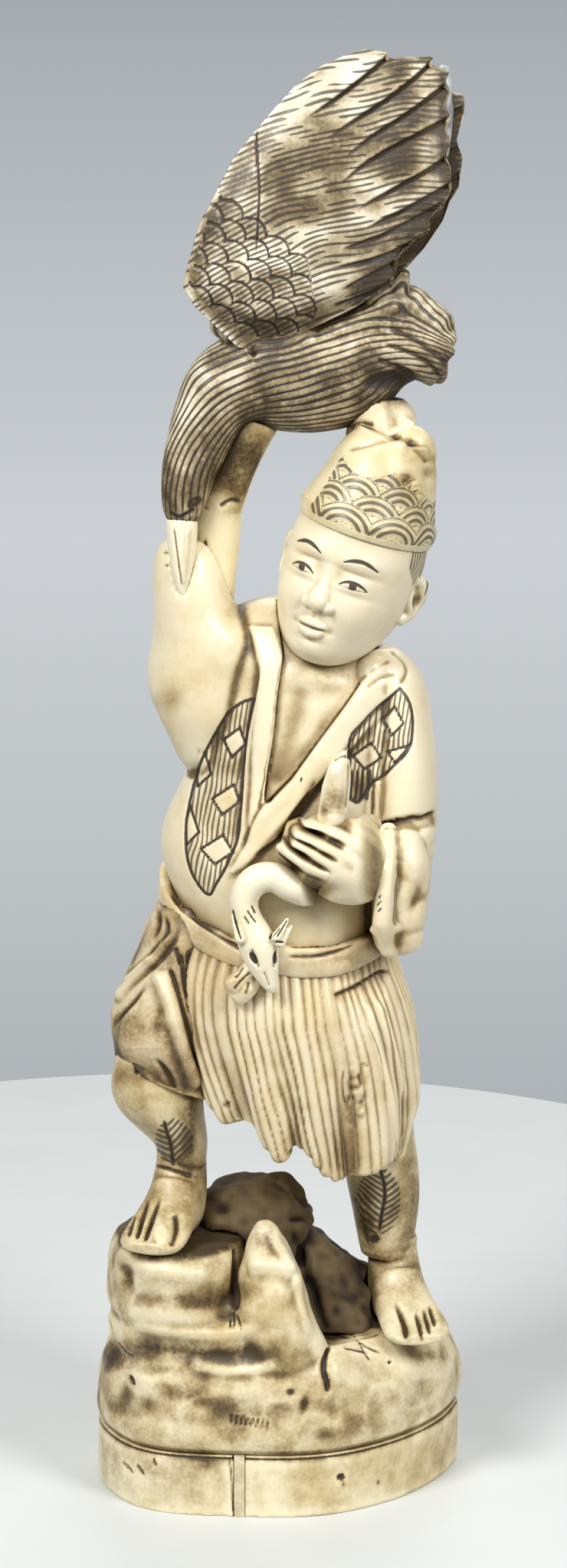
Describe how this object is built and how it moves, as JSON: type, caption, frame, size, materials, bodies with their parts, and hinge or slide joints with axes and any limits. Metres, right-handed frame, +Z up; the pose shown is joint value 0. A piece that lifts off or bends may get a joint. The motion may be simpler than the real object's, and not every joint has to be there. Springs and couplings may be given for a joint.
{
  "type": "okimono carving",
  "caption": "Ornamental okimono carving of a fisher on a rocky plinth, holding one large bird overhead with raised wings and a smaller bird at the chest.",
  "frame": {"origin": "centre of the plinth's underside", "axes": "+Z up along the figure, +X to the right seen from the front, +Y to the back"},
  "size_m": [0.0651, 0.0518, 0.25],
  "materials": {
    "carved_ivory": "satin",
    "stained_ivory": "satin",
    "key_strip": "satin",
    "peg_bone": "matt",
    "clear_glue": "gloss"
  },
  "bodies": {
    "root": {"base_pegs": "peg_bone", "bird_beak": "carved_ivory", "bird_body": "carved_ivory", "bird_neck": "carved_ivory", "bird_perch": "carved_ivory", "bird_rump": "carved_ivory", "bird_tail": "carved_ivory", "boulder": "carved_ivory", "cap": "carved_ivory", "cap_crest": "carved_ivory", "chest": "carved_ivory", "far_wing": "carved_ivory", "foot_pegs": "peg_bone", "head": "carved_ivory", "held_bird": "carved_ivory", "held_bird_tail": "carved_ivory", "kilt": "carved_ivory", "left_calf": "carved_ivory", "left_cuff": "carved_ivory", "left_foot": "carved_ivory", "left_hand": "carved_ivory", "left_lapel": "carved_ivory", "left_sleeve": "carved_ivory", "near_wing": "carved_ivory", "neck": "carved_ivory", "neck_peg": "peg_bone", "perch_peg": "peg_bone", "plinth": "carved_ivory", "plinth_key": "key_strip", "raised_forearm": "carved_ivory", "raised_hand": "carved_ivory", "raised_sleeve": "carved_ivory", "right_breeches": "carved_ivory", "right_calf": "carved_ivory", "right_foot": "carved_ivory", "right_lapel": "carved_ivory", "rock_base": "carved_ivory", "rock_spur": "carved_ivory", "saddle_rock": "stained_ivory", "sash": "carved_ivory", "sash_knot": "carved_ivory", "shoulder_pegs": "peg_bone", "stump_rock": "stained_ivory", "torso": "carved_ivory", "waist_peg": "peg_bone", "wing_glue": "clear_glue", "wing_pegs": "peg_bone"}
  },
  "joints": []
}
